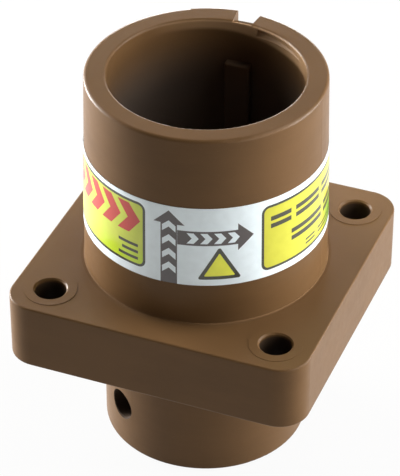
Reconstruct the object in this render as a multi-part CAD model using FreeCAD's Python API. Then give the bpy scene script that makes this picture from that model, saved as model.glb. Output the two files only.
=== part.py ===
"""Single-pole push-and-turn locking panel receptacle for heavy current.

A square moulded flange carries a round keyed collar in front and a cable barrel behind.
Frame: the origin is the centre of the flange's rear face, +Z points out of the collar's mouth,
and the flange's sides run along X and Y. All sizes are in millimetres.
"""
import FreeCAD, Part
import math
import os

Vector = FreeCAD.Vector
UP = Vector(0, 0, 1)

# Driving dimensions

# Square flange
flange_land = 9.1
flange_thickness = 18.9
flange_corner_radius = 8.2
flange_edge_radius = 0.5
bolt_edge_distance = 10.2
bolt_hole_radius = 4.25
hole_edge_break = 0.4
hole_pad_radius = 7.05
hole_pad_height = 0.1

# Collar that the plug enters
collar_height = 56.2
collar_rim_radius = 31.5
collar_wall = 5.8
collar_draft_degrees = 1.15
collar_base_fillet = 0.3
rim_outer_fillet = 0.9
rim_inner_fillet = 0.7
floor_fillet = 0.7

# Rim notch on the +Y side
notch_width = 6.6
notch_depth = 3.3
notch_lip = 0.5
notch_lip_drop = 0.4

# Raised index pad on the outside, beside the notch
pad_sweep_degrees = 23.0
pad_proud = 0.45
pad_above_label = 6.1
pad_foot_radius = 0.6

# Lead-in recess with a 45 degree ledge, which fades out along the inside of the rim
recess_start_degrees = 9.2
recess_sweep_degrees = 42.0
recess_depth = 1.0
recess_lip = 0.75
recess_height = 2.5

# Key rib inside the collar, below the notch
key_width = 7.1
key_protrusion = 2.3
key_offset = -0.65
key_drop = 12.1
key_edge_radius = 0.6

# Cable barrel behind the flange
barrel_length = 35.6
barrel_wall = 6.8
barrel_edge_radius = 0.8

# Contact, from the mating end to the cable end
socket_bore_radius = 6.0
socket_wall = 4.2
socket_stand_out = 2.5
socket_floor_drop = 0.5
socket_mouth_chamfer = 0.6
band_height = 5.0
band_groove_depth = 1.2
band_strip = 0.2
band_louvre_count = 16
band_louvre_tilt_degrees = 35.0
band_end_margin = 3.0
tower_wall = 3.2
tower_height = 20.0
web_thickness = 8.0
shoulder_step = 2.5
shoulder_thickness = 4.0
ring_land = 1.2
cable_bore_radius = 10.2
terminal_wall = 6.8
terminal_recess = 2.6
terminal_solid = 4.0
terminal_chamfer = 0.8

# Clamp screws in line along the terminal
screw_count = 2
screw_pitch = 12.0
screw_end_distance = 13.1
screw_radius = 5.0
screw_length = 8.0
screw_key_flats = 5.0
screw_key_depth = 4.0
screw_chamfer = 0.6
screw_azimuth_degrees = 235.6
screw_back_off = 0.2
access_radius = 4.2
access_chamfer = 0.25
access_to_ring = 4.1

# Insulating nose on the socket
nose_height = 5.0
nose_lead_in = 1.0
nose_bore_margin = 0.4
nose_edge_radius = 0.8
snap_depth = 0.5
snap_height = 0.8
snap_from_end = 0.8

# Retaining hardware behind the web
ring_thickness = 5.0
ring_slot_count = 4
ring_slot_width = 3.0
ring_slot_depth = 2.0
ring_slot_start_degrees = 45.0
ring_edge_radius = 0.5
washer_thickness = 1.2
gasket_thickness = 1.0
gasket_inset = 0.4
dowel_radius = 1.5
dowel_depth = 3.5
dowel_chamfer = 0.3

# Rubber rings
neck_seal_radius = 1.2
neck_groove_side_gap = 0.3
panel_seal_radius = 1.5
panel_seal_proud = 0.7
panel_seal_offset = 4.0
panel_groove_side_gap = 0.3

# Wrapped label
label_bottom = 12.4
label_height = 23.7
label_thickness = 0.15
label_gap = 3.0
label_centre_degrees = -68.6

# Shared clearances
glue_line = 0.02
slide_gap = 0.1
thread_gap = 0.05
seat_gap = 0.3
seal_gap = 0.02
dowel_gap = 0.03
past = 1.0

# Heights worked out from the driving dimensions
rim_z = flange_thickness + collar_height
barrel_end_z = -barrel_length
terminal_end_z = barrel_end_z + terminal_recess
screw_heights = [barrel_end_z + screw_end_distance + n * screw_pitch for n in range(screw_count)]
ring_bottom_z = screw_heights[-1] + access_radius + access_to_ring
ring_top_z = ring_bottom_z + ring_thickness
shoulder_bottom_z = ring_top_z + washer_thickness
shoulder_top_z = shoulder_bottom_z + shoulder_thickness
web_bottom_z = shoulder_top_z + gasket_thickness
floor_z = web_bottom_z + web_thickness
tower_top_z = floor_z + tower_height
socket_front_z = tower_top_z + socket_stand_out
socket_floor_z = floor_z - socket_floor_drop
nose_top_z = tower_top_z + nose_height
cable_bore_top_z = ring_bottom_z - terminal_solid
key_top_z = rim_z - key_drop
label_low_z = flange_thickness + label_bottom
label_top_z = label_low_z + label_height

# Radii worked out from the driving dimensions
collar_slope = math.tan(math.radians(collar_draft_degrees))
collar_base_radius = collar_rim_radius + collar_height * collar_slope
bore_radius = collar_rim_radius - collar_wall
flange_half = collar_base_radius + flange_land
bolt_offset = flange_half - bolt_edge_distance
socket_radius = socket_bore_radius + socket_wall
socket_hole_radius = socket_radius + slide_gap
tower_radius = socket_hole_radius + tower_wall
terminal_radius = cable_bore_radius + terminal_wall
shoulder_radius = terminal_radius + shoulder_step
seat_radius = shoulder_radius + seat_gap
barrel_bore_radius = seat_radius + ring_land
barrel_radius = barrel_bore_radius + barrel_wall
ring_inner_radius = terminal_radius + seat_gap
ring_outer_radius = barrel_bore_radius - thread_gap
dowel_circle_radius = (socket_hole_radius + shoulder_radius) / 2
neck_groove_radius = socket_hole_radius - 2 * neck_seal_radius
neck_groove_half = neck_seal_radius + neck_groove_side_gap
neck_seal_z = (web_bottom_z + floor_z) / 2
panel_seal_circle = barrel_radius + panel_seal_offset
band_groove_radius = socket_bore_radius + band_groove_depth

# Half the angle that the notch opens, seen from the axis
notch_half_degrees = math.degrees(math.asin(notch_width / 2 / collar_rim_radius))


def collar_radius_at(z):
    """Outside radius of the tapered collar at a height."""
    return collar_rim_radius + (rim_z - z) * collar_slope


def rounded_wire(corners):
    """Closed wire in the XZ plane through (radius, height, corner radius) points."""
    edges = []
    starts = []
    ends = []
    middles = []
    for i, (r, z, fillet) in enumerate(corners):
        point = Vector(r, 0, z)
        if fillet == 0:
            starts.append(point)
            ends.append(point)
            middles.append(None)
            continue
        before = corners[i - 1]
        after = corners[(i + 1) % len(corners)]
        to_before = (Vector(before[0], 0, before[1]) - point).normalize()
        to_after = (Vector(after[0], 0, after[1]) - point).normalize()
        half_angle = to_before.getAngle(to_after) / 2
        tangent = fillet / math.tan(half_angle)
        to_centre = (to_before + to_after).normalize()
        middle = point + to_centre * (fillet / math.sin(half_angle) - fillet)
        starts.append(point + to_before * tangent)
        ends.append(point + to_after * tangent)
        middles.append(middle)
    for i in range(len(corners)):
        if middles[i] is not None:
            edges.append(Part.Arc(starts[i], middles[i], ends[i]).toShape())
        following = starts[(i + 1) % len(corners)]
        if ends[i].distanceToPoint(following) > 1e-6:
            edges.append(Part.LineSegment(ends[i], following).toShape())
    return Part.Wire(edges)


def turned(corners, sweep=360.0, start=0.0):
    """Solid turned about Z from a profile of (radius, height, corner radius) points."""
    face = Part.Face(rounded_wire(corners))
    solid = face.revolve(Vector(0, 0, 0), UP, sweep)
    solid.rotate(Vector(0, 0, 0), UP, start)
    return solid


def tube(inner, outer, low, high, rounding=0.0):
    """Plain ring between two radii and two heights."""
    return turned([(inner, low, rounding), (outer, low, rounding),
                   (outer, high, rounding), (inner, high, rounding)])


def hole_cutter(radius, low, high, edge_break):
    """Cutter for a through hole with both edges broken at 45 degrees."""
    wide = radius + edge_break + past
    return turned([(0, low - past, 0), (wide, low - past, 0), (radius, low + edge_break, 0),
                   (radius, high - edge_break, 0), (wide, high + past, 0), (0, high + past, 0)])


def circle_edges(shape, radius, z):
    """Full or part circles of one radius that lie at one height."""
    found = []
    for edge in shape.Edges:
        curve = edge.Curve
        if isinstance(curve, Part.Circle):
            if abs(curve.Radius - radius) < 1e-3 and abs(curve.Center.z - z) < 1e-3:
                found.append(edge)
    return found


def from_plus_y(degrees):
    """Angle about Z, from +X, of a direction given clockwise from +Y as seen from above."""
    return 90.0 - degrees


def make_flange():
    """Square plate with rounded corners and softened edges."""
    side = 2 * flange_half
    plate = Part.makeBox(side, side, flange_thickness, Vector(-flange_half, -flange_half, 0))
    uprights = [e for e in plate.Edges if abs(e.tangentAt(e.FirstParameter).z) > 0.99]
    plate = plate.makeFillet(flange_corner_radius, uprights)
    rims = [e for e in plate.Edges if abs(e.BoundBox.ZMax - e.BoundBox.ZMin) < 1e-6]
    return plate.makeFillet(flange_edge_radius, rims)


def make_collar():
    """Tapered outside of the collar, as a plug that starts inside the flange."""
    low = flange_thickness / 2
    return turned([(0, low, 0), (collar_radius_at(low), low, 0),
                   (collar_rim_radius, rim_z, rim_outer_fillet), (0, rim_z, 0)])


def make_barrel():
    """Outside of the cable barrel, as a plug that ends inside the flange."""
    return turned([(0, barrel_end_z, 0), (barrel_radius, barrel_end_z, barrel_edge_radius),
                   (barrel_radius, flange_thickness / 2, 0), (0, flange_thickness / 2, 0)])


def make_index_pad():
    """Raised patch on the outside of the rim, left of the notch as seen from the front."""
    low = label_top_z + pad_above_label
    inner = bore_radius + collar_wall / 2
    start = from_plus_y(-notch_half_degrees)
    return turned([(inner, low, 0), (collar_radius_at(low) + pad_proud, low, pad_foot_radius),
                   (collar_rim_radius + pad_proud, rim_z, rim_outer_fillet), (inner, rim_z, 0)],
                  pad_sweep_degrees, start)


def make_key_rib():
    """Square rib that stands in the bore below the notch."""
    face_y = bore_radius - key_protrusion
    depth = key_protrusion + collar_wall / 2
    rib = Part.makeBox(key_width, depth, key_top_z - floor_z + past,
                       Vector(key_offset - key_width / 2, face_y, floor_z - past))
    soft = []
    for edge in rib.Edges:
        box = edge.BoundBox
        on_face = box.YMax < face_y + 1e-6
        on_top = box.ZMin > key_top_z - 1e-6
        if (on_face or on_top) and box.ZMax > floor_z and box.YMin < face_y + 1e-6:
            soft.append(edge)
    return rib.makeFillet(key_edge_radius, soft)


def notch_cutter():
    """Wedge with radial walls that opens the rim on the +Y side, down to a thin lip at the bore."""
    inner = bore_radius - past
    outer = collar_rim_radius + pad_proud + past
    low = rim_z - notch_depth
    lip_z = rim_z - notch_lip_drop
    return turned([(inner, lip_z, 0), (bore_radius + notch_lip, lip_z, 0),
                   (bore_radius + notch_lip, low, 0), (outer, low, 0),
                   (outer, rim_z + past, 0), (inner, rim_z + past, 0)],
                  2 * notch_half_degrees, from_plus_y(notch_half_degrees))


def recess_cutter():
    """Shallow recess under the rim, cut by an off-centre cylinder so that its depth fades out."""
    shift = recess_depth / math.sin(math.radians(recess_sweep_degrees))
    toward = math.radians(from_plus_y(recess_start_degrees + recess_sweep_degrees - 90.0))
    high = rim_z - recess_lip
    low = high - recess_height
    round_part = turned([(0, low, 0), (bore_radius - recess_depth, low, 0),
                         (bore_radius, low + recess_depth, 0), (bore_radius, high, 0), (0, high, 0)])
    round_part.translate(Vector(shift * math.cos(toward), shift * math.sin(toward), 0))
    far = bore_radius + collar_wall
    near = bore_radius / 2
    start = from_plus_y(recess_start_degrees + recess_sweep_degrees)
    sector = turned([(near, low, 0), (far, low, 0), (far, high, 0), (near, high, 0)],
                    recess_sweep_degrees, start)
    return round_part.common(sector)


def chamber_cutter():
    """Space around the tower, from the web's floor to the mouth."""
    return turned([(tower_radius, floor_z, floor_fillet), (bore_radius, floor_z, floor_fillet),
                   (bore_radius, rim_z + past, 0), (0, rim_z + past, 0),
                   (0, tower_top_z, 0), (tower_radius, tower_top_z, 0)])


def rear_cutter():
    """Barrel bore, contact seat and the socket's hole through the web and tower."""
    mouth = barrel_bore_radius + past
    return turned([(0, barrel_end_z - past, 0),
                   (mouth + terminal_chamfer, barrel_end_z - past, 0),
                   (barrel_bore_radius, barrel_end_z + terminal_chamfer, 0),
                   (barrel_bore_radius, shoulder_bottom_z, 0),
                   (seat_radius, shoulder_bottom_z, 0),
                   (seat_radius, web_bottom_z, 0),
                   (socket_hole_radius, web_bottom_z, 0),
                   (socket_hole_radius, tower_top_z + past, 0),
                   (0, tower_top_z + past, 0)])


def panel_groove_cutter():
    """Groove in the flange's rear face for the panel seal."""
    half = panel_seal_radius + panel_groove_side_gap
    depth = 2 * panel_seal_radius - panel_seal_proud + seal_gap
    return tube(panel_seal_circle - half, panel_seal_circle + half, -past, depth)


def radial_cylinder(radius, near, far, z):
    """Cylinder along the clamp screws' direction, between two distances from the axis."""
    angle = math.radians(screw_azimuth_degrees)
    way = Vector(math.cos(angle), math.sin(angle), 0)
    return Part.makeCylinder(radius, far - near, way * near + Vector(0, 0, z), way)


def dowel_hole(low, high):
    """Hole for the dowel, on the +X side between the socket and the shoulder's edge."""
    return Part.makeCylinder(dowel_radius + dowel_gap, high - low, Vector(dowel_circle_radius, 0, low), UP)


def make_housing():
    """One moulding: flange, collar with key, notch and pad, barrel, web and tower."""
    body = make_flange().fuse([make_collar(), make_barrel()]).removeSplitter()
    foot = circle_edges(body, collar_base_radius, flange_thickness)
    body = body.makeFillet(collar_base_fillet, foot)
    body = body.cut(chamber_cutter())
    body = body.makeFillet(rim_inner_fillet, circle_edges(body, bore_radius, rim_z))
    body = body.cut(rear_cutter())
    for z in screw_heights:
        body = body.cut(radial_cylinder(access_radius, terminal_radius, barrel_radius + past, z))
    body = body.makeChamfer(access_chamfer, access_edges(body))
    hole_pads = [Part.makeCylinder(hole_pad_radius, flange_thickness / 2 + hole_pad_height,
                                   Vector(x, y, flange_thickness / 2), UP)
                 for x, y in bolt_places()]
    body = body.fuse([make_index_pad(), make_key_rib()] + hole_pads).removeSplitter()
    cutters = [notch_cutter(), recess_cutter(), panel_groove_cutter()]
    cutters.append(dowel_hole(web_bottom_z, web_bottom_z + dowel_depth))
    for x, y in bolt_places():
        hole = hole_cutter(bolt_hole_radius, 0, flange_thickness + hole_pad_height, hole_edge_break)
        hole.translate(Vector(x, y, 0))
        cutters.append(hole)
    return body.cut(cutters)


def bolt_places():
    """Centres of the four bolt holes."""
    return [(sx * bolt_offset, sy * bolt_offset) for sx in (-1, 1) for sy in (-1, 1)]


def access_edges(body):
    """Outer edges of the key access holes in the barrel."""
    found = []
    for edge in body.Edges:
        if isinstance(edge.Curve, (Part.Line, Part.Circle)):
            continue
        points = edge.discretize(9)
        if all(abs(math.hypot(p.x, p.y) - barrel_radius) < 1e-3 for p in points):
            found.append(edge)
    return found


def make_contact_body():
    """Turned contact: socket in front, shoulder at the web, cable terminal behind."""
    body = turned([(0, socket_floor_z, 0),
                   (socket_bore_radius, socket_floor_z, 0),
                   (socket_bore_radius, socket_front_z - socket_mouth_chamfer, 0),
                   (socket_bore_radius + socket_mouth_chamfer, socket_front_z, 0),
                   (socket_radius, socket_front_z, 0),
                   (socket_radius, shoulder_top_z, 0),
                   (shoulder_radius, shoulder_top_z, 0),
                   (shoulder_radius, shoulder_bottom_z, 0),
                   (terminal_radius, shoulder_bottom_z, 0),
                   (terminal_radius, terminal_end_z + terminal_chamfer, 0),
                   (terminal_radius - terminal_chamfer, terminal_end_z, 0),
                   (cable_bore_radius + terminal_chamfer, terminal_end_z, 0),
                   (cable_bore_radius, terminal_end_z + terminal_chamfer, 0),
                   (cable_bore_radius, cable_bore_top_z, 0),
                   (0, cable_bore_top_z, 0)])
    cutters = [tube(socket_bore_radius - past, band_groove_radius, low, low + band_height)
               for low in band_bottoms()]
    cutters.append(tube(neck_groove_radius, socket_radius + past,
                        neck_seal_z - neck_groove_half, neck_seal_z + neck_groove_half))
    snap_top = socket_front_z - snap_from_end
    cutters.append(tube(socket_radius - snap_depth, socket_radius + past,
                        snap_top - snap_height, snap_top))
    for z in screw_heights:
        cutters.append(radial_cylinder(screw_radius + thread_gap, cable_bore_radius / 2,
                                       terminal_radius + past, z))
    cutters.append(dowel_hole(shoulder_top_z - dowel_depth + gasket_thickness, shoulder_top_z + past))
    return body.cut(cutters)


def band_bottoms():
    """Heights of the two contact bands' lower edges in the socket."""
    lower = socket_floor_z + band_end_margin
    upper = socket_front_z - band_end_margin - band_height
    return [lower, upper]


def make_contact_band(low):
    """Louvred spring strip, drawn as the mating pin presses it, with a gap in its ring."""
    outer = band_groove_radius - slide_gap
    inner = outer - band_strip
    height = band_height - 2 * slide_gap
    base = low + slide_gap
    step = 360.0 / band_louvre_count
    strip = turned([(inner, base, 0), (outer, base, 0),
                    (outer, base + height, 0), (inner, base + height, 0)], 360.0 - step)
    reach = inner - socket_bore_radius + band_strip
    blades = []
    for n in range(1, band_louvre_count - 1):
        blade = Part.makeBox(2 * reach, band_strip, height - 2 * band_strip,
                             Vector(-2 * reach, -band_strip / 2, base + band_strip))
        blade.rotate(Vector(0, 0, 0), UP, band_louvre_tilt_degrees)
        blade.translate(Vector(outer - band_strip / 2, 0, 0))
        blade.rotate(Vector(0, 0, 0), UP, (n + 0.5) * step)
        blades.append(blade)
    band = strip.fuse(blades)
    inside = Part.makeCylinder(socket_bore_radius, height + 2 * past, Vector(0, 0, base - past), UP)
    return band.cut(inside).removeSplitter()


def make_nose_ring():
    """Touch-proof insulating ring that snaps over the socket's front end."""
    bore = socket_bore_radius + nose_bore_margin
    pocket = socket_radius + thread_gap
    pocket_top = socket_front_z + thread_gap
    ring = turned([(pocket, tower_top_z, 0), (tower_radius, tower_top_z, 0),
                   (tower_radius, nose_top_z, nose_edge_radius),
                   (bore + nose_lead_in, nose_top_z, 0), (bore, nose_top_z - nose_lead_in, 0),
                   (bore, pocket_top, 0), (pocket, pocket_top, 0)])
    bead_top = socket_front_z - snap_from_end - thread_gap
    bead = tube(socket_radius - snap_depth + thread_gap, pocket + past / 2,
                bead_top - snap_height + 2 * thread_gap, bead_top)
    return ring.fuse(bead).removeSplitter()


def make_o_ring(circle, cord, z):
    """Rubber ring of round section."""
    return Part.makeTorus(circle, cord, Vector(0, 0, z), UP)


def make_neck_seal():
    """Ring between the contact's neck and the web's hole."""
    cord = neck_seal_radius - seal_gap
    return make_o_ring(neck_groove_radius + neck_seal_radius, cord, neck_seal_z)


def make_panel_seal():
    """Ring in the flange's rear face, standing a little proud before it is pressed."""
    return make_o_ring(panel_seal_circle, panel_seal_radius, panel_seal_radius - panel_seal_proud)


def make_shoulder_gasket():
    """Flat gasket between the contact's shoulder and the web."""
    ring = tube(socket_hole_radius + gasket_inset, shoulder_radius - gasket_inset,
                shoulder_top_z, web_bottom_z)
    return ring.cut(dowel_hole(shoulder_top_z - past, web_bottom_z + past))


def make_locating_dowel():
    """Dowel that stops the contact turning when the clamp screws are tightened."""
    length = 2 * dowel_depth - 2 * slide_gap
    low = web_bottom_z - dowel_depth + slide_gap
    return turned_at(dowel_circle_radius, [
        (0, low, 0), (dowel_radius - dowel_chamfer, low, 0), (dowel_radius, low + dowel_chamfer, 0),
        (dowel_radius, low + length - dowel_chamfer, 0),
        (dowel_radius - dowel_chamfer, low + length, 0), (0, low + length, 0)])


def turned_at(x, corners):
    """Solid turned about a line parallel to Z at one X."""
    solid = turned(corners)
    solid.translate(Vector(x, 0, 0))
    return solid


def make_thrust_washer():
    """Steel washer between the retaining ring and the shoulder."""
    return tube(ring_inner_radius, barrel_bore_radius - slide_gap, ring_top_z, shoulder_bottom_z)


def make_retaining_ring():
    """Threaded ring with spanner slots that holds the contact in its seat."""
    ring = turned([(ring_inner_radius, ring_bottom_z, 0),
                   (ring_outer_radius, ring_bottom_z, ring_edge_radius),
                   (ring_outer_radius, ring_top_z, 0), (ring_inner_radius, ring_top_z, 0)])
    slots = []
    for n in range(ring_slot_count):
        slot = Part.makeBox(barrel_radius, ring_slot_width, ring_slot_depth + past,
                            Vector(0, -ring_slot_width / 2, ring_bottom_z - past))
        slot.rotate(Vector(0, 0, 0), UP, ring_slot_start_degrees + n * 360.0 / ring_slot_count)
        slots.append(slot)
    return ring.cut(slots)


def make_clamp_screw(z):
    """Hexagon socket set screw, backed off so that the cable bore is clear."""
    tip = cable_bore_radius + screw_back_off
    screw = turned([(0, 0, 0), (screw_radius - screw_chamfer, 0, 0), (screw_radius, screw_chamfer, 0),
                    (screw_radius, screw_length - screw_chamfer, 0),
                    (screw_radius - screw_chamfer, screw_length, 0), (0, screw_length, 0)])
    corner = screw_key_flats / math.sqrt(3)
    points = [Vector(corner * math.cos(math.radians(60 * n)), corner * math.sin(math.radians(60 * n)),
                     screw_length - screw_key_depth) for n in range(7)]
    socket = Part.Face(Part.makePolygon(points)).extrude(Vector(0, 0, screw_key_depth + past))
    screw = screw.cut(socket)
    screw.rotate(Vector(0, 0, 0), Vector(0, 1, 0), 90.0)
    screw.translate(Vector(tip, 0, 0))
    screw.rotate(Vector(0, 0, 0), UP, screw_azimuth_degrees)
    screw.translate(Vector(0, 0, z))
    return screw


def make_label_band():
    """Printed label wrapped round the collar, with its two ends apart at the back."""
    inner = [(collar_radius_at(z) + glue_line, z) for z in (label_low_z, label_top_z)]
    outer = [(r + label_thickness, z) for r, z in inner]
    gap_degrees = math.degrees(label_gap / collar_base_radius)
    start = label_centre_degrees + 180.0 + gap_degrees / 2
    return turned([(*inner[0], 0), (*outer[0], 0), (*outer[1], 0), (*inner[1], 0)],
                  360.0 - gap_degrees, start)


def make_parts():
    """Every piece by its node name."""
    band_lows = band_bottoms()
    parts = {
        "housing": make_housing(),
        "label_band": make_label_band(),
        "contact_body": make_contact_body(),
        "contact_band_rear": make_contact_band(band_lows[0]),
        "contact_band_front": make_contact_band(band_lows[1]),
        "nose_ring": make_nose_ring(),
        "neck_seal": make_neck_seal(),
        "shoulder_gasket": make_shoulder_gasket(),
        "locating_dowel": make_locating_dowel(),
        "thrust_washer": make_thrust_washer(),
        "retaining_ring": make_retaining_ring(),
        "panel_seal": make_panel_seal(),
    }
    for n, z in enumerate(screw_heights):
        parts[f"clamp_screw_{n + 1}"] = make_clamp_screw(z)
    return parts


os.makedirs("parts", exist_ok=True)
for name, shape in make_parts().items():
    solids = shape.Solids
    if len(solids) != 1 or not shape.isValid():
        raise RuntimeError(f"{name}: {len(solids)} solids, valid {shape.isValid()}")
    solids[0].exportStep(f"parts/{name}.step")
    print(name, "volume", round(solids[0].Volume, 1))
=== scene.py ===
"""Looks of a single-pole push-and-turn locking panel receptacle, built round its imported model.

The moulded housing, the contact, the seals and the hardware keep their modelled shapes and get
their finishes here. The printed label is modelled here, one field of colour at a time.
Sizes are in metres unless a name or a comment says millimetres.
"""
import math

import bpy
import bmesh
from bpy.props import FloatProperty, FloatVectorProperty, PointerProperty
from bpy.types import Operator, Panel, PropertyGroup
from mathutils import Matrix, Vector
from mathutils.geometry import delaunay_2d_cdt


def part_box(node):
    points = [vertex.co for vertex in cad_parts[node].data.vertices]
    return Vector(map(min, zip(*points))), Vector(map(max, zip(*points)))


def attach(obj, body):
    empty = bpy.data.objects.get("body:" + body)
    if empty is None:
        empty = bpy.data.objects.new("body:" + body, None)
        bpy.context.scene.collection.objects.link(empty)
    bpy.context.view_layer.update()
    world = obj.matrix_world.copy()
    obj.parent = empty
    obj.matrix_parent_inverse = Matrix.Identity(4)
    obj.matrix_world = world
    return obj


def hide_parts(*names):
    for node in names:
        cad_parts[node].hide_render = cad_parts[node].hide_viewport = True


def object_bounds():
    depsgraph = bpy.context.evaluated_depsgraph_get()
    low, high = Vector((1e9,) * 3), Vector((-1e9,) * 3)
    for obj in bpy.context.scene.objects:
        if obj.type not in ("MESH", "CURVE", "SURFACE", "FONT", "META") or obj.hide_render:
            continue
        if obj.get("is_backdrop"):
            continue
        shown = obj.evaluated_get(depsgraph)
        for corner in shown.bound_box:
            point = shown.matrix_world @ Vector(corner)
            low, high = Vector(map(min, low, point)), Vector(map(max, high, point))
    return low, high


bl_info = {
    "name": "Panel receptacle looks",
    "version": (1, 0, 0),
    "blender": (4, 5, 0),
    "location": "View3D > Sidebar > Receptacle",
    "description": "Finishes, printed label and studio for a single-pole panel receptacle",
    "category": "Object",
}

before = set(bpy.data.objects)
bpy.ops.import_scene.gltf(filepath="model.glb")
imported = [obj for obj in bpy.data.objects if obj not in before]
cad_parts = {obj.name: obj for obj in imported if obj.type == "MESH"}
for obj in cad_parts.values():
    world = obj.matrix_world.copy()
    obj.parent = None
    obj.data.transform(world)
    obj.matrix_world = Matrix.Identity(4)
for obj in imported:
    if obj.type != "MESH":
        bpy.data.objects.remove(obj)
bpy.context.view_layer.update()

MM = 0.001
BODY = "root"

# Height in millimetres of the flange's front face
FLANGE_TOP = 18.9

# The camera stands this far round from the front, and the label's middle faces it
VIEW_AZIMUTH = math.radians(21.4)
# The same bearing as an angle from the X axis
FRONT_ANGLE = VIEW_AZIMUTH - math.pi / 2


def srgb(red, green, blue):
    """Linear colour of a display colour that is given from 0 to 255."""
    shares = [value / 255 for value in (red, green, blue)]
    return tuple(s / 12.92 if s <= 0.04045 else ((s + 0.055) / 1.055) ** 2.4 for s in shares)


def colour_property(name, description, display):
    """Colour setting whose default is a display colour from 0 to 255."""
    return FloatVectorProperty(name=name, description=description, default=srgb(*display),
                               subtype="COLOR", size=3, min=0.0, max=1.0)


def length_property(name, description, millimetres):
    """Length setting whose default is given in millimetres."""
    return FloatProperty(name=name, description=description, default=millimetres * MM,
                         unit="LENGTH", subtype="DISTANCE", precision=5)


def share_property(name, description, default):
    """Setting from 0 to 1."""
    return FloatProperty(name=name, description=description, default=default,
                         min=0.0, max=1.0, subtype="FACTOR")


def power_property(name, description, watts):
    """Power setting of a group of softboxes."""
    return FloatProperty(name=name, description=description, default=watts, unit="POWER")


class MouldingSettings(PropertyGroup):
    """Finish of the moulded housing."""

    colour: colour_property("Colour", "Brown of the moulding compound", (102, 75, 47))
    flow_colour: colour_property("Flow colour", "Darker brown of the flow marks", (97, 71, 44))
    fleck_colour: colour_property("Fleck colour", "Pale glass fibres near the skin", (122, 95, 68))
    # Painted glare: a neutral grey mixed into the brown deep inside the mouth
    bore_glare_colour: colour_property("Bore colour", "Greyer skin deep inside the mouth", (90, 82, 76))
    # Painted light: a paler band on the wall just inside the rim
    lit_band_colour: colour_property("Rubbed colour", "Paler wall inside the rim", (178, 143, 106))
    # Painted shade: dark walls of the holes
    hole_shade_colour: colour_property("Hole colour", "Dark walls of the holes", (48, 40, 34))
    hole_radius: length_property("Hole radius", "Radius of the mounting holes", 4.25)
    hole_offset: length_property("Hole offset", "From the axis to a hole along each side", 31.53)
    side_hole_radius: length_property("Side hole radius", "Radius of the side holes", 4.2)
    flange_top: length_property("Flange top", "Height of the flange's front face", FLANGE_TOP)
    roughness: share_property("Roughness", "Roughness of the satin skin", 0.36)
    shine: share_property("Shine", "Specular level of the satin skin", 0.13)
    grain: length_property("Grain height", "Height of the eroded mould texture", 0.006)
    thread_pitch: length_property("Thread pitch", "Pitch of the thread in the barrel", 1.5)
    thread_height: length_property("Thread height", "Height of that thread", 0.45)


class LabelSettings(PropertyGroup):
    """Sizes and inks of the printed label."""

    film: colour_property("Film", "Pale film of the label", (234, 245, 249))
    ink: colour_property("Ink", "Dark grey of arrows and bars", (74, 66, 64))
    outline: colour_property("Outline", "Dark olive of the outlines", (52, 52, 34))
    yellow: colour_property("Yellow", "Yellow of the right panel", (196, 193, 43))
    triangle: colour_property("Triangle", "Brighter yellow of the triangle", (236, 236, 60))
    lime: colour_property("Lime", "Yellow-green of the left panel", (196, 206, 62))
    bright_lime: colour_property("Bright lime", "Brighter corner of the left panel", (190, 216, 32))
    red: colour_property("Red", "Red of the large chevrons", (186, 46, 34))
    green: colour_property("Green", "Green tint on the right panel", (120, 190, 70))
    panel_length: length_property("Panel length", "Length of each coloured panel", 70.0)
    panel_height: length_property("Panel height", "Height of each coloured panel", 20.0)
    panel_radius: length_property("Panel corner", "Corner radius of the panels", 2.2)
    line_width: length_property("Line width", "Width of the dark outlines", 0.75)
    facet: length_property("Facet width", "Widest facet of the wrapped label", 1.5)


class MetalSettings(PropertyGroup):
    """Finishes of the contact and the hardware."""

    silver: colour_property("Silver", "Silver plate on the contact", (226, 222, 212))
    tarnish: colour_property("Tarnish", "Warm tarnish on the silver", (176, 158, 124))
    brass: colour_property("Brass", "Brass of the retaining ring", (206, 170, 98))
    steel: colour_property("Steel", "Plated steel of screws and washer", (190, 190, 188))
    mark_pitch: length_property("Mark pitch", "Spacing of the turning marks", 0.12)
    screw_pitch: length_property("Screw pitch", "Pitch of the clamp screws' thread", 1.5)


class RubberSettings(PropertyGroup):
    """Finishes of the seals and the insulating nose."""

    rubber: colour_property("Rubber", "Black of the seals", (30, 30, 31))
    bloom: colour_property("Bloom", "Grey bloom on the rubber", (62, 61, 60))
    insulator: colour_property("Insulator", "Black of the insulating nose", (26, 26, 28))


class StudioSettings(PropertyGroup):
    """Floor, lamps and camera."""

    floor: colour_property("Floor", "Pale floor", (176, 174, 170))
    floor_glow: share_property("Floor whiteness", "Share of plain white in the seen floor", 0.94)
    right_lamp: power_property("Right lamps", "Power of the right softboxes", 5.6)
    left_lamp: power_property("Left lamps", "Power of the left softboxes", 8.8)
    back_lamp: power_property("Back lamps", "Power of the back softboxes", 3.5)
    front_lamp: power_property("Front lamp", "Power of the front softbox", 0.9)
    lamp_distance: length_property("Lamp distance", "From the object's middle to each softbox", 500.0)
    world_level: FloatProperty(name="World level", description="Strength of the room's light",
                               default=0.02, min=0.0)
    target_height: length_property("Target height", "Where distance and pan start on the axis",
                                   FLANGE_TOP)
    lens: FloatProperty(name="Lens", description="Focal length for a 36 mm long side",
                        default=194.2, unit="CAMERA")
    distance: length_property("Distance", "Camera distance from the target", 689.4)
    elevation: FloatProperty(name="Elevation", description="Camera height above the horizon",
                             default=math.radians(36.74), subtype="ANGLE")
    azimuth: FloatProperty(name="Azimuth", description="Camera turn from the front",
                           default=VIEW_AZIMUTH, subtype="ANGLE")
    pan_right: length_property("Pan right", "How far right of the target the camera aims", -1.62)
    pan_up: length_property("Pan up", "How far above the target the camera aims", 2.8)


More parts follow.
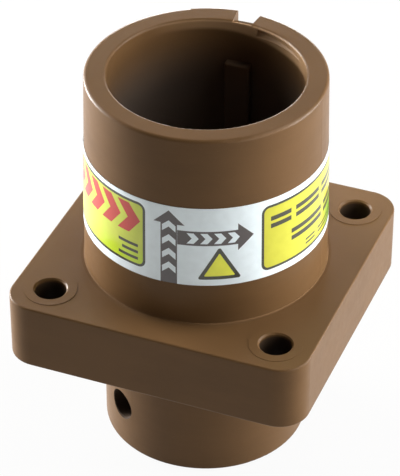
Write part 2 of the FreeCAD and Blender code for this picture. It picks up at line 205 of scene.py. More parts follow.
class Wire:
    """Output of a shader node that takes part in Python sums, which add Math nodes."""

    def __init__(self, tree, socket):
        self.tree = tree
        self.socket = socket

    def maths(self, operation, *values):
        """Math node over the given numbers and wires."""
        node = self.tree.nodes.new("ShaderNodeMath")
        node.operation = operation
        for slot, value in zip(node.inputs, values):
            feed(self.tree, slot, value)
        return Wire(self.tree, node.outputs[0])

    def __add__(self, other):
        return self.maths("ADD", self, other)

    def __radd__(self, other):
        return self.maths("ADD", other, self)

    def __sub__(self, other):
        return self.maths("SUBTRACT", self, other)

    def __rsub__(self, other):
        return self.maths("SUBTRACT", other, self)

    def __mul__(self, other):
        return self.maths("MULTIPLY", self, other)

    def __rmul__(self, other):
        return self.maths("MULTIPLY", other, self)

    def __truediv__(self, other):
        return self.maths("DIVIDE", self, other)

    def __rtruediv__(self, other):
        return self.maths("DIVIDE", other, self)

    def __abs__(self):
        return self.maths("ABSOLUTE", self)

    def triangle(self):
        """Height of a 60 degree thread at this many turns, from 0 to 1."""
        return self.maths("PINGPONG", self, 0.5) * 2

    def turns(self, x):
        """Turns from the x direction to the point with this as its y, from -0.5 to 0.5."""
        return self.maths("ARCTAN2", self, x) / math.tau

    def smooth(self, low, high):
        """0 below low, 1 above high, and a smooth step between."""
        node = self.tree.nodes.new("ShaderNodeMapRange")
        node.interpolation_type = "SMOOTHSTEP"
        for slot, value in zip(node.inputs, (self, low, high)):
            feed(self.tree, slot, value)
        return Wire(self.tree, node.outputs[0])

    def fall(self, low, high):
        """1 below low, 0 above high, and a smooth step between."""
        return 1 - self.smooth(low, high)


def feed(tree, slot, value):
    """Link a wire to a node's socket, or set the socket to a plain value."""
    if isinstance(value, Wire):
        tree.links.new(value.socket, slot)
    else:
        slot.default_value = value


class Finish:
    """Material or world in the making, with the few calls that its recipes need."""

    def __init__(self, block):
        self.block = block
        block.use_nodes = True
        self.tree = block.node_tree
        self.tree.nodes.clear()

    def node(self, kind, settings=None, inputs=None, output=""):
        """Add a node, set it up, feed its sockets by name, and give back one of its outputs."""
        node = self.tree.nodes.new(kind)
        for key, value in (settings or {}).items():
            setattr(node, key, value)
        slots = {slot.identifier: slot for slot in node.inputs}
        for key, value in (inputs or {}).items():
            feed(self.tree, slots[key], value)
        results = {slot.identifier: slot for slot in node.outputs}
        return Wire(self.tree, results[output] if output else node.outputs[0])

    def place(self):
        """Position on the object in millimetres, in the model's own frame."""
        metres = self.node("ShaderNodeTexCoord", output="Object")
        return self.node("ShaderNodeVectorMath", {"operation": "SCALE"},
                         {"Vector": metres, "Scale": 1 / MM})

    def split(self, vector):
        """The three parts of a vector as numbers."""
        node = self.tree.nodes.new("ShaderNodeSeparateXYZ")
        feed(self.tree, node.inputs[0], vector)
        return [Wire(self.tree, slot) for slot in node.outputs]

    def join(self, x, y, z):
        """A vector from three numbers."""
        return self.node("ShaderNodeCombineXYZ", inputs={"X": x, "Y": y, "Z": z})

    def distance(self, x, y):
        """Distance of a point in a plane from the plane's origin."""
        return self.node("ShaderNodeVectorMath", {"operation": "LENGTH"},
                         {"Vector": self.join(x, y, 0.0)}, output="Value")

    def noise(self, vector, per_mm, detail=2.0, roughness=0.5):
        """Noise from about 0 to 1 with so many features to the millimetre."""
        return self.node("ShaderNodeTexNoise", inputs={
            "Vector": vector, "Scale": per_mm, "Detail": detail, "Roughness": roughness})

    def mix(self, share, first, second):
        """Colour between two others."""
        values = [(*c, 1.0) if isinstance(c, (tuple, list)) else c for c in (first, second)]
        return self.node("ShaderNodeMix", {"data_type": "RGBA"},
                         {"Factor_Float": share, "A_Color": values[0], "B_Color": values[1]},
                         output="Result_Color")

    def bump(self, height_mm):
        """Normal of a relief whose height is given in millimetres."""
        return self.node("ShaderNodeBump", inputs={
            "Strength": 1.0, "Distance": MM, "Height": height_mm})

    def finish(self, **sockets):
        """End with a Principled shader whose sockets are named with underscores for spaces."""
        inputs = {}
        for key, value in sockets.items():
            name = " ".join(w if w == "IOR" else w.capitalize() for w in key.split("_"))
            inputs[name] = (*value, 1.0) if isinstance(value, (tuple, list)) else value
        shader = self.node("ShaderNodeBsdfPrincipled", inputs=inputs)
        return self.end(shader)

    def end(self, shader, kind="ShaderNodeOutputMaterial"):
        """Link a shader to the output and give back the finished material or world."""
        out = self.tree.nodes.new(kind)
        self.tree.links.new(shader.socket, out.inputs["Surface"])
        return self.block

    def seen(self):
        """1 for rays that show this to the camera, straight or in a gloss or through glass."""
        straight, gloss, glass = [self.node("ShaderNodeLightPath", output=name) for name in
                                  ("Is Camera Ray", "Is Glossy Ray", "Is Transmission Ray")]
        return straight.maths("MAXIMUM", straight.maths("MAXIMUM", straight, gloss), glass)


def new_material(name):
    """Start a new material."""
    return Finish(bpy.data.materials.new(name))


def colour_of(value):
    """Plain tuple of a colour setting."""
    return tuple(value)[:3]


def box_mm(node):
    """Lowest and highest corner of a node in millimetres."""
    return [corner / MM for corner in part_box(node)]


def paint(node, material):
    """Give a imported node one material."""
    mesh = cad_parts[node].data
    mesh.materials.clear()
    mesh.materials.append(material)


def ring_radii(node, height):
    """Smallest and largest distance from the axis of a node's corners near one height."""
    near = 0.05 * MM
    found = [math.hypot(v.co.x, v.co.y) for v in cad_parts[node].data.vertices
             if abs(v.co.z - height) < near]
    return min(found), max(found)


def screw_place(node):
    """Centre in millimetres, outward direction and radius in millimetres of a clamp screw."""
    low, high = box_mm(node)
    centre = (low + high) / 2
    way = Vector((centre.x, centre.y, 0.0)).normalized()
    return centre, way, (high.z - low.z) / 2


# Millimetres below the rim where the painted glare on the mouth's wall starts and where it is full
GLARE_START = 3.0
GLARE_FULL = 22.0
# The painted glare fades out downwards between these heights, so that what lies lower stays brown
GLARE_FLOOR = (14.0, 18.0)


def mouth_size():
    """Height of the rim and radius of the mouth there, in millimetres."""
    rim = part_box("housing")[1].z
    return rim / MM, ring_radii("housing", rim)[0] / MM


def painted_glare_share(radius, z):
    """Share of painted glare on the wall of the mouth, which greys it more the deeper it lies."""
    rim, mouth = mouth_size()
    deep = z.fall(rim - GLARE_FULL, rim - GLARE_START) * z.smooth(*GLARE_FLOOR)
    return deep * radius.fall(mouth, mouth + 0.4)


# Turns about the axis between which the painted light band fades in, fades out and gets narrower
LIT_BAND_IN = (0.03, 0.12)
LIT_BAND_OUT = (0.25, 0.42)
LIT_BAND_CLIMB = (0.14, 0.3)
# Millimetres from the rim to the band's foot, how far the foot climbs, and how soft its edge is
LIT_BAND_DEPTH = 5.4
LIT_BAND_RISE = 1.9
LIT_BAND_EDGE = 1.4


def painted_light_band_share(radius, z, turn):
    """Share of painted light on the wall: a paler band just inside the rim, from the notch to its
    right.
    """
    rim, mouth = mouth_size()
    beside_notch = turn.smooth(*LIT_BAND_IN) * turn.fall(*LIT_BAND_OUT)
    foot = rim - LIT_BAND_DEPTH + turn.smooth(*LIT_BAND_CLIMB) * LIT_BAND_RISE
    band = z.smooth(foot, foot + LIT_BAND_EDGE) * z.fall(rim - 0.45, rim - 0.1)
    return band * beside_notch * radius.fall(mouth + 0.9, mouth + 1.2)


def mounting_hole_shade_share(f, settings, x, y, z):
    """Share of painted shade: 1 on the walls of the four mounting holes, fading out below their broken
    edges.
    """
    radius = settings.hole_radius / MM
    offset = settings.hole_offset / MM
    flange_top = settings.flange_top / MM
    below_edge = z.fall(flange_top - 1.4, flange_top - 0.5)
    return f.distance(abs(x) - offset, abs(y) - offset).fall(radius + 0.1, radius + 0.35) * below_edge


def side_hole_share(f, settings, x, y, z):
    """1 on the walls and broken edges of the two side holes, in line with the clamp screws: where
    shade is painted and the skin is dulled.
    """
    radius = settings.side_hole_radius / MM
    centre, way, _ = screw_place("clamp_screw_1")
    half_gap = (screw_place("clamp_screw_2")[0].z - centre.z) / 2
    side = y * way.x - x * way.y
    rise = abs(z - (centre.z + half_gap)) - half_gap
    outward = x * way.x + y * way.y
    return f.distance(side, rise).fall(radius + 0.22, radius + 0.3) * outward.smooth(5.0, 6.0)


def collar_foot_share(settings, radius, z):
    """1 on the small fillet where the collar, whose wall the label is wrapped on, meets the flange."""
    fillet_middle = settings.flange_top / MM + 0.15
    wall = ring_radii("label_band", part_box("label_band")[0].z)[0] / MM
    return abs(z - fillet_middle).fall(0.2, 0.35) * abs(radius - wall).fall(1.0, 1.4)


def barrel_thread(settings, radius, z, turn):
    """Height in millimetres of the thread that runs from the retaining ring to the barrel's end."""
    bore = ring_radii("thrust_washer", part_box("thrust_washer")[0].z)[1] / MM
    ring_low = box_mm("retaining_ring")[0].z
    near_wall = abs(radius - bore).fall(0.15, 0.35)
    below_ring = z.fall(ring_low - 0.5, ring_low)
    ridge = (z / (settings.thread_pitch / MM) - turn).triangle()
    return ridge * near_wall * below_ring * (settings.thread_height / MM)


def moulding_finish(settings):
    """Brown glass-filled moulding: satin skin, faint flow marks, flecks, the barrel's thread, and
    painted glare, light band and shade in the mouth and holes.
    """
    f = new_material("moulding")
    place = f.place()
    x, y, z = f.split(place)
    radius = f.distance(x, y)
    turn = y.turns(x)
    cloud = f.noise(place, per_mm=0.045, detail=3.0)
    streak = f.noise(f.join(x * 0.6, y * 0.6, z * 2.4), per_mm=0.09, detail=4.0, roughness=0.6)
    fleck = f.noise(place, per_mm=3.6, detail=1.0).smooth(0.66, 0.74)
    flow = (cloud * 0.5 + streak * 0.5).smooth(0.38, 0.64)
    base = f.mix(flow, colour_of(settings.colour), colour_of(settings.flow_colour))
    base = f.mix(fleck * 0.22, base, colour_of(settings.fleck_colour))
    # Painted glare greys the deep wall of the mouth
    base = f.mix(painted_glare_share(radius, z) * 0.8, base, colour_of(settings.bore_glare_colour))
    # Painted light brightens a band on the wall just inside the rim
    base = f.mix(painted_light_band_share(radius, z, turn) * 0.75, base, colour_of(settings.lit_band_colour))
    mounting_hole_shade = mounting_hole_shade_share(f, settings, x, y, z)
    in_side_hole = side_hole_share(f, settings, x, y, z)
    # Painted shade darkens the walls of the mounting and side holes
    base = f.mix((mounting_hole_shade + in_side_hole) * 0.85, base, colour_of(settings.hole_shade_colour))
    # The collar's foot and the side holes keep the dull skin of the mould
    dull = collar_foot_share(settings, radius, z) + in_side_hole
    worn = f.noise(place, per_mm=0.35, detail=4.0, roughness=0.65)
    rough = settings.roughness + (worn - 0.5) * 0.16 + dull * 0.5
    fine = f.noise(place, per_mm=2.2, detail=3.0, roughness=0.6)
    peel = f.noise(place, per_mm=0.5)
    relief = (fine + peel * 1.5) * (settings.grain / MM) + barrel_thread(settings, radius, z, turn)
    return f.finish(base_color=base, roughness=rough, normal=f.bump(relief), IOR=1.5,
                    specular_IOR_level=settings.shine)


# Depth of the turning marks in millimetres
MARK_DEPTH = 0.004


def turned_relief(f, x, y, z, pitch):
    """Relief in millimetres of fine turning marks about the Z axis, on walls and faces alike."""
    return f.noise(f.join(f.distance(x, y), z, 0.0), per_mm=1 / pitch, roughness=0.7) * MARK_DEPTH


def metal_finish(name, colours, dull_share, rough, settings, relief_of=None):
    """Turned metal with ring marks, patches of the second, duller colour and an uneven shine."""
    f = new_material(name)
    place = f.place()
    x, y, z = f.split(place)
    if relief_of is None:
        relief = turned_relief(f, x, y, z, settings.mark_pitch / MM)
    else:
        relief = relief_of(f, x, y, z)
    patch = f.noise(place, per_mm=0.22, detail=5.0, roughness=0.62).smooth(0.42, 0.72)
    fine = f.noise(place, per_mm=1.9, detail=3.0, roughness=0.6)
    base = f.mix(patch * dull_share, *colours)
    shine = rough + patch * 0.12 + (fine - 0.5) * 0.1
    return f.finish(base_color=base, metallic=1.0, roughness=shine, normal=f.bump(relief))


def with_duller(colour, share):
    """A colour and the same colour at a share of its brightness."""
    return colour, tuple(c * share for c in colour)


def screw_relief(node, settings):
    """Recipe of one clamp screw's thread and turning marks, about the screw's own level axis."""
    centre, way, screw_radius = screw_place(node)
    pitch = settings.screw_pitch / MM
    thread_height = 0.6

    def relief(f, x, y, z):
        along = x * way.x + y * way.y
        side = y * way.x - x * way.y
        rise = z - centre.z
        out = f.distance(side, rise)
        turn = rise.turns(side)
        on_wall = out.smooth(screw_radius - 0.15, screw_radius - 0.05)
        thread = (along / pitch + turn).triangle() * thread_height
        marks = f.noise(f.join(out, along, 0.0), per_mm=7.0, roughness=0.7) * MARK_DEPTH
        return thread * on_wall + marks

    return relief


def rubber_finish(name, colour, bloom, rough):
    """Matt rubber or nylon with a dusty bloom and a fine skin."""
    f = new_material(name)
    place = f.place()
    dust = f.noise(place, per_mm=0.3, detail=5.0, roughness=0.65).smooth(0.45, 0.8)
    skin = f.noise(place, per_mm=5.0)
    base = f.mix(dust * 0.5, colour, bloom)
    return f.finish(base_color=base, roughness=rough + dust * 0.15,
                    normal=f.bump(skin * 0.006), specular_IOR_level=0.35)


def ink_finish(name, colour, second=None, spread=None):
    """One ink of the label under its clear laminate, with a second tone if spread gives its share."""
    f = new_material("label_" + name)
    place = f.place()
    mottle = f.noise(place, per_mm=0.4, detail=3.0)
    paler = tuple(min(1.0, c * 1.02 + 0.003) for c in colour)
    deeper = tuple(c * 0.97 for c in colour)
    base = f.mix(mottle.smooth(0.3, 0.7), deeper, paler)
    if second is not None:
        across, up, _ = f.split(f.node("ShaderNodeUVMap", {"uv_map": "unrolled"}))
        base = f.mix(spread(across, up), base, second)
    peel = f.noise(place, per_mm=0.8)
    fine = f.noise(place, per_mm=6.0)
    rough = 0.34 + (mottle - 0.5) * 0.08
    return f.finish(base_color=base, roughness=rough, specular_IOR_level=0.4,
                    normal=f.bump(peel * 0.004 + fine * 0.0003),
                    coat_weight=0.6, coat_roughness=0.12)


def bright_corner(across, up):
    """Share of the brighter lime in the left panel's lower corner, from unrolled millimetres."""
    return across.smooth(-44.0, -24.0) * up.fall(4.0, 10.0)


def green_end(across, up):
    """Share of green low on the right panel's far end, from unrolled millimetres."""
    return across.smooth(38.0, 44.0) * up.fall(8.0, 13.0) * 0.7


def label_inks(settings):
    """Material of each ink by its name."""
    inks = {name: ink_finish(name, colour_of(getattr(settings, name)))
            for name in ("film", "ink", "outline")}
    inks["yellow"] = ink_finish("yellow", colour_of(settings.yellow), colour_of(settings.green),
                                green_end)
    inks["triangle"] = ink_finish("triangle", colour_of(settings.triangle))
    inks["lime"] = ink_finish("lime", colour_of(settings.lime), colour_of(settings.bright_lime),
                              bright_corner)
    inks["red"] = ink_finish("red", colour_of(settings.red))
    return inks


def rounded_box(left, right, low, high, radius, steps=6):
    """Outline of a box with round corners, as points."""
    centres = [(right - radius, high - radius, 0), (left + radius, high - radius, 1),
               (left + radius, low + radius, 2), (right - radius, low + radius, 3)]
    points = []
    for cx, cy, quarter in centres:
        for n in range(steps + 1):
            angle = (quarter + n / steps) * math.pi / 2
            points.append((cx + radius * math.cos(angle), cy + radius * math.sin(angle)))
    return points


def plain_box(left, right, low, high):
    """Outline of a box."""
    return [(left, low), (right, low), (right, high), (left, high)]


def chevron(x, y, width, height, stroke, upright=False):
    """Outline of a chevron about a point, pointing right, or up if upright."""
    half = height / 2
    back = -width / 2
    tip = width / 2
    points = [(back, -half), (back + stroke, -half), (tip, 0.0), (back + stroke, half),
              (back, half), (tip - stroke, 0.0)]
    if upright:
        points = [(-b, a) for a, b in points]
    return [(x + a, y + b) for a, b in points]


def soft_polygon(corners, radius, steps=4):
    """Outline of a polygon, given counter-clockwise, with its corners rounded."""
    points = []
    for n, corner in enumerate(corners):
        before = (corners[n - 1] - corner).normalized()
        after = (corners[(n + 1) % len(corners)] - corner).normalized()
        half = before.angle(after) / 2
        centre = corner + (before + after).normalized() * (radius / math.sin(half))
        start = corner + before * (radius / math.tan(half)) - centre
        for k in range(steps + 1):
            turn = (math.pi - 2 * half) * k / steps
            swung = Vector((start.x * math.cos(turn) - start.y * math.sin(turn),
                            start.x * math.sin(turn) + start.y * math.cos(turn)))
            points.append(tuple(centre + swung))
    return points


def framed_panel(fields, settings, ink, left, low):
    """Coloured panel with round corners and a dark outline."""
    right = left + settings.panel_length / MM
    high = low + settings.panel_height / MM
    line = settings.line_width / MM
    radius = settings.panel_radius / MM
    fields.append(("outline", rounded_box(left, right, low, high, radius)))
    fields.append((ink, rounded_box(left + line, right - line, low + line, high - line,
                                    radius - line)))


def left_panel(fields, settings, right, low):
    """Lime panel with a row of red chevrons and three small bars."""
    framed_panel(fields, settings, "lime", right - settings.panel_length / MM, low)
    chevron_count = 9
    chevron_pitch = 6.3
    first_chevron = right - 5.2
    chevron_line = low + 14.2
    for n in range(chevron_count):
        fields.append(("red", chevron(first_chevron - n * chevron_pitch, chevron_line,
                                      width=7.4, height=9.0, stroke=3.9)))
    bar_pitch = 2.0
    bar_height = 0.9
    bar_right = right - 2.2
    highest = low + 6.8
    for n, bar_length in enumerate((6.4, 5.2, 6.4)):
        top = highest - n * bar_pitch
        fields.append(("outline", plain_box(bar_right - bar_length, bar_right, top - bar_height, top)))


# Rows of double bars on the yellow panel, in millimetres: the first pair's distance from the
# panel's left edge and its foot's from the lower edge, a pair's height, a bar's thickness, lengths
BAR_ROWS = (
    (2.7, 12.8, 3.6, 1.35, (6.6, 10.6, 12.4, 9.0, 14.0)),
    (9.4, 6.2, 3.6, 1.35, (13.6, 10.8, 8.2, 12.0)),
    (15.0, 1.9, 1.8, 0.55, (4.4, 11.6, 9.6, 6.2)),
)
BAR_GAP = 1.7


def right_panel(fields, settings, left, low):
    """Yellow panel with dark double bars in three rows."""
    framed_panel(fields, settings, "yellow", left, low)
    for start, rise, height, stroke, bar_lengths in BAR_ROWS:
        x = left + start
        foot = low + rise
        for bar_length in bar_lengths:
            for bar_low in (foot, foot + height - stroke):
                fields.append(("outline", plain_box(x, x + bar_length, bar_low, bar_low + stroke)))
            x += bar_length + BAR_GAP


# Half widths in millimetres of an arrow's stem and head
STEM = 2.2
HEAD = 4.15


def arrow(start, neck, tip, line, upright=False):
    """Outline of an arrow along a line, pointing right, or up if upright."""
    points = [(start, -STEM), (neck, -STEM), (neck, -HEAD), (tip, 0.0),
              (neck, HEAD), (neck, STEM), (start, STEM)]
    if upright:
        return [(line - aside, along) for along, aside in points]
    return [(along, line + aside) for along, aside in points]


def arrow_marks(fields):
    """Upright and level arrow with pale chevrons on their stems."""
    chevron_count = 4
    upright_line, first_up, pitch_up = -9.6, 4.9, 4.25
    fields.append(("ink", arrow(start=0.0, neck=18.35, tip=22.4, line=upright_line, upright=True)))
    for n in range(chevron_count):
        fields.append(("film", chevron(upright_line, first_up + n * pitch_up, width=3.4, height=3.6,
                                       stroke=1.9, upright=True)))
    level_line, first_along, pitch_along = 14.6, -3.4, 3.5
    fields.append(("ink", arrow(start=-7.36, neck=8.2, tip=12.4, line=level_line)))
    for n in range(chevron_count):
        fields.append(("film", chevron(first_along + n * pitch_along, level_line, width=3.1,
                                       height=3.2, stroke=1.8)))


def triangle_mark(fields, settings):
    """Plain yellow triangle whose outline is a little heavier than the panels'."""
    base, apex = 1.9, 12.1
    left, right = -2.3, 9.2
    heavier = 1.35
    line = settings.line_width / MM * heavier
    corners = [Vector((left, base)), Vector((right, base)), Vector(((left + right) / 2, apex))]
    fields.append(("outline", soft_polygon(corners, radius=0.5)))
    centre = sum(corners, Vector((0.0, 0.0))) / 3
    shrink = 1 - line / (centre.y - base)
    inner = [centre + (corner - centre) * shrink for corner in corners]
    fields.append(("triangle", soft_polygon(inner, radius=0.2)))


def label_print(settings, half_length, height):
    """Every printed field, in the order it is laid down, as its ink and its outline.

    Outlines are in millimetres on the unrolled label, across from the label's middle and up
    from its lower edge.
    """
    fields = [("film", plain_box(-half_length, half_length, 0.0, height))]
    arrow_marks(fields)
    triangle_mark(fields, settings)
    left_panel(fields, settings, right=-16.1, low=2.4)
    right_panel(fields, settings, left=14.6, low=1.9)
    return fields


def triangulated(fields, half_length, height, step):
    """Corners, triangles and the topmost field of each triangle, cut by upright lines."""
    corners = []
    outlines = []
    lines = []
    for _, outline in fields:
        first = len(corners)
        corners.extend(Vector(point) for point in outline)
        outlines.append(list(range(first, first + len(outline))))
    facets = math.ceil(2 * half_length / step)
    for n in range(1, facets):
        x = -half_length + 2 * half_length * n / facets
        corners.extend((Vector((x, 0.0)), Vector((x, height))))
        lines.append((len(corners) - 2, len(corners) - 1))
    inside_only, merge_distance = 1, 1e-5
    points, _, triangles, _, _, sources = delaunay_2d_cdt(corners, lines, outlines, inside_only,
                                                          merge_distance)
    kept = [(tri, max(source)) for tri, source in zip(triangles, sources) if source]
    return points, [tri for tri, _ in kept], [top for _, top in kept]


class Cone:
    """Wall that the label is wrapped on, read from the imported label."""

    def __init__(self, node):
        low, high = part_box(node)
        self.low, self.high = low.z, high.z
        self.inner_low, self.outer_low = ring_radii(node, self.low)
        self.inner_high, self.outer_high = ring_radii(node, self.high)
        self.height = self.high - self.low
        self.print_radius = (self.outer_low + self.outer_high) / 2
        self.lean = (self.outer_low - self.outer_high) / self.height

    def point(self, across, up, outside):
        """Place of an unrolled point, in metres from the label's middle and its lower edge."""
        ends = (self.outer_low, self.outer_high) if outside else (self.inner_low, self.inner_high)
        radius = ends[0] + (ends[1] - ends[0]) * up / self.height
        angle = FRONT_ANGLE + across / self.print_radius
        return Vector((radius * math.cos(angle), radius * math.sin(angle), self.low + up))

    def normal(self, across, outside):
        """Outward or inward direction of the wall."""
        angle = FRONT_ANGLE + across / self.print_radius
        out = Vector((math.cos(angle), math.sin(angle), self.lean)).normalized()
        return out if outside else -out


def label_half_length(node, cone):
    """Half the length of the wrapped film, from how far its ends stand from the line at the back."""
    nearest = math.pi
    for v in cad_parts[node].data.vertices:
        angle = (math.atan2(v.co.y, v.co.x) - FRONT_ANGLE) % math.tau
        nearest = min(nearest, abs(angle - math.pi))
    return (math.pi - nearest) * cone.print_radius


def label_faces(fields, names, triangles, tops, count):
    """Faces of the film's printed side, its back and its edges, and each one's material slot.

    The first count corners lie on the printed side, and their partners on the back follow.
    """
    film = names.index("film")
    faces = [tuple(tri) for tri in triangles]
    slots = [names.index(fields[top][0]) for top in tops]
    faces.extend(tuple(count + i for i in reversed(tri)) for tri in triangles)
    edges = dict.fromkeys((a, b) for tri in triangles for a, b in zip(tri, (*tri[1:], tri[0])))
    faces.extend((b, a, count + a, count + b) for a, b in edges if (b, a) not in edges)
    slots.extend([film] * (len(faces) - len(slots)))
    return faces, slots


def wrap_label(mesh, faces, points, cone):
    """Give the film smooth normals about the cone, and its unrolled place in a UV map."""
    count = len(points)
    unrolled = mesh.uv_layers.new(name="unrolled")
    normals = [None] * len(mesh.loops)
    for poly, face in zip(mesh.polygons, faces):
        outside = max(face) < count
        inside = min(face) >= count
        for loop, vert in zip(poly.loop_indices, face):
            flat = points[vert % count]
            unrolled.uv[loop].vector = flat
            normal = cone.normal(flat.x * MM, outside) if outside or inside else poly.normal
            normals[loop] = tuple(normal)
    mesh.polygons.foreach_set("use_smooth", [True] * len(faces))
    mesh.normals_split_custom_set(normals)


def build_label(settings, inks):
    """Film of real thickness with one material for each ink."""
    cone = Cone("label_band")
    half = label_half_length("label_band", cone) / MM
    height = cone.height / MM
    fields = label_print(settings, half, height)
    points, triangles, tops = triangulated(fields, half, height, settings.facet / MM)
    names = list(inks)
    verts = [cone.point(p.x * MM, p.y * MM, outside) for outside in (True, False) for p in points]
    faces, slots = label_faces(fields, names, triangles, tops, len(points))
    mesh = bpy.data.meshes.new("printed_label")
    mesh.from_pydata(verts, [], faces)
    for name in names:
        mesh.materials.append(inks[name])
    mesh.polygons.foreach_set("material_index", slots)
    wrap_label(mesh, faces, points, cone)
    mesh.validate()
    label = bpy.data.objects.new("printed_label", mesh)
    bpy.context.scene.collection.objects.link(label)
    return label


class ReceptacleOperator:
    """What every operator here shares."""

    bl_options = {"REGISTER", "UNDO"}


class RECEPTACLE_OT_housing(ReceptacleOperator, Operator):
    """Give the moulded housing its brown satin finish"""

    bl_idname = "receptacle.housing"
    bl_label = "Finish Housing"

    def execute(self, context):
        paint("housing", moulding_finish(context.scene.receptacle_moulding))
        return {"FINISHED"}


class RECEPTACLE_OT_label(ReceptacleOperator, Operator):
    """Model the printed label in place of its plain film"""

    bl_idname = "receptacle.label"
    bl_label = "Build Printed Label"

    def execute(self, context):
        settings = context.scene.receptacle_label
        label = build_label(settings, label_inks(settings))
        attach(label, BODY)
        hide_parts("label_band")
        return {"FINISHED"}


class RECEPTACLE_OT_contact(ReceptacleOperator, Operator):
    """Give the contact and its spring bands a turned silver finish"""

    bl_idname = "receptacle.contact"
    bl_label = "Finish Contact"

    def execute(self, context):
        settings = context.scene.receptacle_metal
        plate = (colour_of(settings.silver), colour_of(settings.tarnish))
        paint("contact_body", metal_finish("silver_plate", plate, dull_share=0.4, rough=0.24,
                                           settings=settings))
        band = metal_finish("spring_strip", plate, dull_share=0.75, rough=0.2, settings=settings)
        for node in ("contact_band_rear", "contact_band_front"):
            paint(node, band)
        return {"FINISHED"}


class RECEPTACLE_OT_insulation(ReceptacleOperator, Operator):
    """Give the seals and the insulating nose their black finishes"""

    bl_idname = "receptacle.insulation"
    bl_label = "Finish Seals And Nose"

    def execute(self, context):
        settings = context.scene.receptacle_rubber
        bloom = colour_of(settings.bloom)
        rubber = rubber_finish("seal_rubber", colour_of(settings.rubber), bloom, rough=0.66)
        for node in ("neck_seal", "panel_seal", "shoulder_gasket"):
            paint(node, rubber)
        nylon = rubber_finish("nose_nylon", colour_of(settings.insulator), bloom, rough=0.42)
        paint("nose_ring", nylon)
        return {"FINISHED"}


class RECEPTACLE_OT_hardware(ReceptacleOperator, Operator):
    """Give the ring, washer, dowel and clamp screws their metal finishes"""

    bl_idname = "receptacle.hardware"
    bl_label = "Finish Hardware"

    def execute(self, context):
        settings = context.scene.receptacle_metal
        steel = with_duller(colour_of(settings.steel), share=0.62)
        brass = with_duller(colour_of(settings.brass), share=0.55)
        paint("retaining_ring", metal_finish("turned_brass", brass, dull_share=0.5, rough=0.26,
                                             settings=settings))
        plain = metal_finish("plated_steel", steel, dull_share=0.4, rough=0.28, settings=settings)
        paint("thrust_washer", plain)
        paint("locating_dowel", plain)
        for node in ("clamp_screw_1", "clamp_screw_2"):
            paint(node, metal_finish(node + "_steel", steel, dull_share=0.5, rough=0.3,
                                     settings=settings, relief_of=screw_relief(node, settings)))
        return {"FINISHED"}


def floor_material(settings):
    """Pale floor that looks near white to the camera, keeps a soft shadow and hides from below."""
    f = new_material("pale_floor")
    paper = f.noise(f.place(), per_mm=0.02, detail=3.0)
    tone = tuple(c * 0.985 for c in colour_of(settings.floor))
    base = f.mix(paper, tone, colour_of(settings.floor))
    matt = f.node("ShaderNodeBsdfDiffuse", inputs={"Color": base})
    glow = f.node("ShaderNodeEmission", inputs={"Color": (1.0, 1.0, 1.0, 1.0), "Strength": 1.0})
    lit = f.node("ShaderNodeMixShader", inputs={
        "Fac": f.seen() * settings.floor_glow, "Shader": matt, "Shader_001": glow})
    clear = f.node("ShaderNodeBsdfTransparent")
    below = f.node("ShaderNodeNewGeometry", output="Backfacing")
    both = f.node("ShaderNodeMixShader", inputs={
        "Fac": below, "Shader": lit, "Shader_001": clear})
    return f.end(both)


FLOOR_RADIUS = 6.0
FLOOR_SIDES = 96


def build_floor(settings):
    """Round pale floor under the barrel's end."""
    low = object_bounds()[0].z
    mesh = bpy.data.meshes.new("floor")
    bm = bmesh.new()
    bmesh.ops.create_circle(bm, cap_ends=True, radius=FLOOR_RADIUS, segments=FLOOR_SIDES)
    bm.to_mesh(mesh)
    bm.free()
    floor = bpy.data.objects.new("floor", mesh)
    floor.location = (0.0, 0.0, low)
    floor.data.materials.append(floor_material(settings))
    bpy.context.scene.collection.objects.link(floor)
    floor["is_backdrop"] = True


# Softboxes by name: whose power they share, their share of it, bearing and elevation in degrees,
# and share of the lamp distance. Bearing 0 is the camera's own and 90 is to its right.
SOFTBOXES = {
    "left_near_softbox": ("left_lamp", 0.027, -104.0, 2.0, 0.42),
    "left_softbox": ("left_lamp", 0.86, -122.0, 6.0, 1.0),
    "left_high_softbox": ("left_lamp", 0.08, -118.0, 30.0, 1.0),
    "right_low_softbox": ("right_lamp", 0.6, 98.0, 6.0, 1.0),
    "right_softbox": ("right_lamp", 0.2, 90.0, 30.0, 1.0),
    "right_high_softbox": ("right_lamp", 0.2, 90.0, 55.0, 1.0),
    "back_softbox": ("back_lamp", 0.63, 180.0, 6.0, 1.0),
    "back_left_softbox": ("back_lamp", 0.25, -140.0, 38.0, 1.0),
    "back_right_softbox": ("back_lamp", 0.1, 135.0, 55.0, 1.0),
    "front_softbox": ("front_lamp", 1.0, 48.0, 16.0, 1.0),
}
SOFTBOX_WIDTH = 0.26
SOFTBOX_HEIGHT = 0.2


def build_lamp(name, power, bearing, elevation, distance, aim):
    """Softbox at a bearing from the camera's own, aimed at a point and hidden from the camera."""
    data = bpy.data.lights.new(name, "AREA")
    data.shape = "RECTANGLE"
    data.size = SOFTBOX_WIDTH
    data.size_y = SOFTBOX_HEIGHT
    data.energy = power
    lamp = bpy.data.objects.new(name, data)
    angle = FRONT_ANGLE + math.radians(bearing)
    rise = math.radians(elevation)
    way = Vector((math.cos(angle) * math.cos(rise), math.sin(angle) * math.cos(rise),
                  math.sin(rise)))
    lamp.location = aim + way * distance
    lamp.visible_camera = False
    lamp.rotation_mode = "QUATERNION"
    lamp.rotation_quaternion = (-way).to_track_quat("-Z", "Y")
    bpy.context.scene.collection.objects.link(lamp)


# Heights of a view direction, from 0 level to 1 straight up, between which the room turns dark
ROOM_FADE = (0.12, 0.42)
ROOM_WHITE = (1.0, 0.995, 0.985, 1.0)


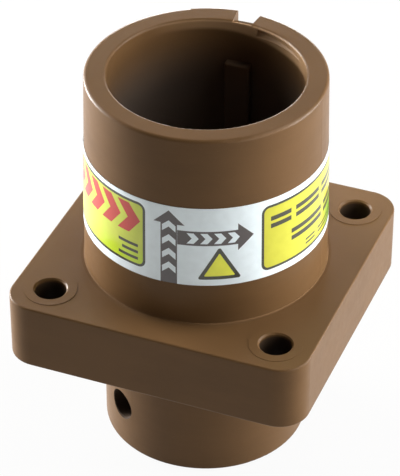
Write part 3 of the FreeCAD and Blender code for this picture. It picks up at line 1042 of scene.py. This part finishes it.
def build_world(settings):
    """White surroundings to the eye, dark overhead, with little light of their own."""
    world = bpy.data.worlds.new("studio")
    bpy.context.scene.world = world
    f = Finish(world)
    direction = f.node("ShaderNodeTexCoord", output="Generated")
    up = f.split(direction)[2]
    level = 1 - up.smooth(*ROOM_FADE) * (1 - settings.world_level)
    seen = f.seen()
    strength = level * seen + (1 - seen) * settings.world_level
    glow = f.node("ShaderNodeBackground", inputs={"Color": ROOM_WHITE, "Strength": strength})
    f.end(glow, "ShaderNodeOutputWorld")


# Long side of the camera's sensor in millimetres, to which the lens setting refers
SENSOR_WIDTH = 36.0
NEAREST_SEEN = 0.05
FARTHEST_SEEN = 50.0


def build_camera(settings):
    """Camera at the photograph's viewing angle."""
    azimuth, elevation = settings.azimuth, settings.elevation
    right = Vector((math.cos(azimuth), math.sin(azimuth), 0.0))
    back = Vector((math.sin(azimuth) * math.cos(elevation),
                   -math.cos(azimuth) * math.cos(elevation), math.sin(elevation)))
    up = back.cross(right)
    target = Vector((0.0, 0.0, settings.target_height))
    data = bpy.data.cameras.new("camera")
    data.sensor_width = SENSOR_WIDTH
    data.lens = settings.lens
    data.clip_start = NEAREST_SEEN
    data.clip_end = FARTHEST_SEEN
    camera = bpy.data.objects.new("camera", data)
    camera.location = target + back * settings.distance
    aim = target + right * settings.pan_right + up * settings.pan_up
    camera.rotation_mode = "QUATERNION"
    camera.rotation_quaternion = (aim - camera.location).to_track_quat("-Z", "Y")
    bpy.context.scene.collection.objects.link(camera)
    bpy.context.scene.camera = camera


class RECEPTACLE_OT_studio(ReceptacleOperator, Operator):
    """Set up the floor, the softboxes, the room light and the camera"""

    bl_idname = "receptacle.studio"
    bl_label = "Set Up Studio"

    def execute(self, context):
        settings = context.scene.receptacle_studio
        build_floor(settings)
        build_world(settings)
        low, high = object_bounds()
        middle = (low + high) / 2
        for name, (group, share, bearing, elevation, reach) in SOFTBOXES.items():
            build_lamp(name, getattr(settings, group) * share, bearing, elevation,
                       settings.lamp_distance * reach, middle)
        build_camera(settings)
        context.scene.view_settings.view_transform = "Standard"
        return {"FINISHED"}


class RECEPTACLE_PT_looks(Panel):
    """Receptacle looks in the 3D view's sidebar"""

    bl_idname = "RECEPTACLE_PT_looks"
    bl_label = "Panel Receptacle"
    bl_space_type = "VIEW_3D"
    bl_region_type = "UI"
    bl_category = "Receptacle"

    def draw(self, context):
        layout = self.layout
        for operator, group in STEPS:
            layout.operator(operator.bl_idname)
            settings = getattr(context.scene, group)
            for key in settings.__annotations__:
                layout.prop(settings, key)


GROUPS = {
    "receptacle_moulding": MouldingSettings,
    "receptacle_label": LabelSettings,
    "receptacle_metal": MetalSettings,
    "receptacle_rubber": RubberSettings,
    "receptacle_studio": StudioSettings,
}
STEPS = (
    (RECEPTACLE_OT_housing, "receptacle_moulding"),
    (RECEPTACLE_OT_label, "receptacle_label"),
    (RECEPTACLE_OT_contact, "receptacle_metal"),
    (RECEPTACLE_OT_insulation, "receptacle_rubber"),
    (RECEPTACLE_OT_hardware, "receptacle_metal"),
    (RECEPTACLE_OT_studio, "receptacle_studio"),
)


def register():
    """Register every class and hang the settings on the scene."""
    for group in GROUPS.values():
        bpy.utils.register_class(group)
    for operator, _ in STEPS:
        bpy.utils.register_class(operator)
    bpy.utils.register_class(RECEPTACLE_PT_looks)
    for name, group in GROUPS.items():
        setattr(bpy.types.Scene, name, PointerProperty(type=group))


def unregister():
    """Take everything that register added away again."""
    for name in GROUPS:
        delattr(bpy.types.Scene, name)
    bpy.utils.unregister_class(RECEPTACLE_PT_looks)
    for operator, _ in reversed(STEPS):
        bpy.utils.unregister_class(operator)
    for group in reversed(GROUPS.values()):
        bpy.utils.unregister_class(group)


def main():
    """Run every step in order."""
    register()
    bpy.ops.receptacle.housing()
    bpy.ops.receptacle.label()
    bpy.ops.receptacle.contact()
    bpy.ops.receptacle.insulation()
    bpy.ops.receptacle.hardware()
    bpy.ops.receptacle.studio()


if __name__ == "__main__":
    main()
